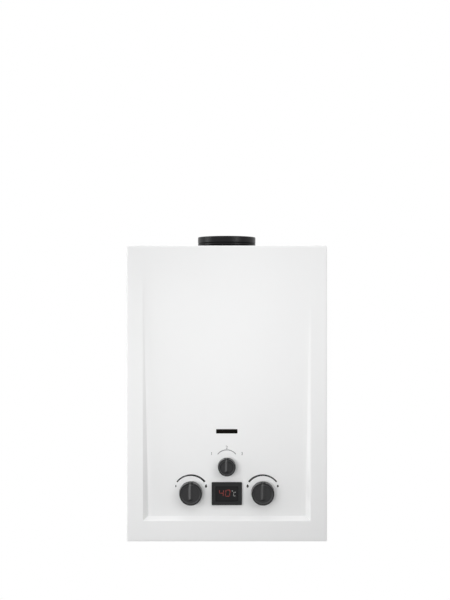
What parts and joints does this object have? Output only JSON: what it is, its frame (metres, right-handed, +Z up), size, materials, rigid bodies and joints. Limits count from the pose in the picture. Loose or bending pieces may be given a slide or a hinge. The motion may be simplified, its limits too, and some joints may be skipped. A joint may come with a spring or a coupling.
{
  "type": "tankless gas water heater",
  "caption": "Wall-hung tankless gas water heater: white enamelled case with a sunken front field, flue collar on top, turning gas, water and season knobs, temperature display and flame slot.",
  "frame": {"origin": "midway between the two hanging keyholes, on the wall face", "axes": "+Z up, +Y into the wall, -Y to the front, +X to the right as seen from the front"},
  "size_m": [0.3044, 0.1474, 0.477],
  "materials": {
    "white_enamel": "semi-gloss white enamel",
    "black_enamel": "semi-gloss black enamel",
    "zinc_sheet": "galvanised sheet",
    "steel": "bright steel",
    "copper": "bright copper",
    "brass": "machined brass",
    "cast_aluminium": "die-cast",
    "knob_plastic": "satin charcoal",
    "bezel_plastic": "satin charcoal",
    "smoked_lens": "smoked clear plastic",
    "black_plastic": "moulded",
    "grey_plastic": "moulded",
    "circuit_board": "lacquered",
    "mica": "clear amber mica",
    "white_ceramic": "glazed",
    "rubber": "moulded rubber",
    "silicone": "silicone sleeve",
    "cell_jacket": "printed jacket, left plain"
  },
  "bodies": {
    "casing": {"front_cover": "white_enamel", "cover_screws": "steel", "back_plate": "zinc_sheet", "bottom_plate": "zinc_sheet", "flue_collar": "black_enamel", "collar_rivets": "steel", "draft_hood": "zinc_sheet", "combustion_chamber": "copper", "heat_fins": "copper", "fin_tubes": "copper", "coil_pipe": "copper", "burner_frame": "zinc_sheet", "burner_blades": "steel", "burner_brackets": "zinc_sheet", "gas_manifold": "cast_aluminium", "gas_nozzles": "brass", "season_valve": "cast_aluminium", "gas_valve": "cast_aluminium", "gas_valve_plug": "brass", "valve_spring": "steel", "diaphragm_cover": "brass", "diaphragm": "rubber", "clamp_screws": "steel", "water_valve": "brass", "relief_valve": "brass", "drain_plug": "black_plastic", "microswitch": "black_plastic", "switch_bracket": "zinc_sheet", "feed_pipes": "copper", "hot_pipe": "copper", "pipe_unions": "brass", "temperature_sensor": "black_plastic", "thermal_cutout": "black_plastic", "electrode_insulators": "white_ceramic", "electrode_rods": "steel", "igniter_box": "black_plastic", "inner_leads": "silicone", "battery_box": "grey_plastic", "battery_cells": "cell_jacket", "battery_contacts": "steel", "door_pin": "steel", "display_bezel": "bezel_plastic", "display_lens": "smoked_lens", "display_board": "circuit_board", "flame_window": "mica", "window_frame": "zinc_sheet"},
    "gas_control": {"gas_knob": "knob_plastic", "gas_spindle": "steel"},
    "water_control": {"water_knob": "knob_plastic", "water_spindle": "steel"},
    "season_control": {"season_knob": "knob_plastic", "season_spindle": "steel"},
    "valve_link": {"push_rod": "steel", "diaphragm_disc": "steel", "gas_poppet": "rubber"},
    "flow_lever": {"switch_lever": "steel"},
    "battery_hatch": {"battery_door": "grey_plastic", "door_springs": "steel"}
  },
  "joints": [
    {"name": "gas_knob_turn", "type": "hinge", "parent": "casing", "child": "gas_control", "pos_m": [-0.054, -0.1327, -0.3185], "axis": [0, -1, 0], "range_deg": [-60, 60]},
    {"name": "water_knob_turn", "type": "hinge", "parent": "casing", "child": "water_control", "pos_m": [0.054, -0.1327, -0.3185], "axis": [0, -1, 0], "range_deg": [-60, 60]},
    {"name": "season_knob_turn", "type": "hinge", "parent": "casing", "child": "season_control", "pos_m": [0, -0.1335, -0.279], "axis": [0, -1, 0], "range_deg": [-40, 40]},
    {"name": "valve_link_slide", "type": "slide", "parent": "casing", "child": "valve_link", "axis": [-1, 0, 0], "range_m": [0, 0.004], "stiffness_N_per_m": 800, "springref_m": -0.004, "deforming": ["valve_spring"]},
    {"name": "flow_lever_swing", "type": "hinge", "parent": "casing", "child": "flow_lever", "pos_m": [0.0072, -0.0847, -0.2895], "axis": [0, 1, 0], "range_deg": [0, 9.6]},
    {"name": "battery_door_swing", "type": "hinge", "parent": "casing", "child": "battery_hatch", "pos_m": [-0.0793, -0.085, -0.3905], "axis": [1, 0, 0], "range_deg": [0, 100]}
  ],
  "couplings": [
    {"joint": "flow_lever_swing", "follows": "valve_link_slide", "rad_per_m": 40.95}
  ]
}
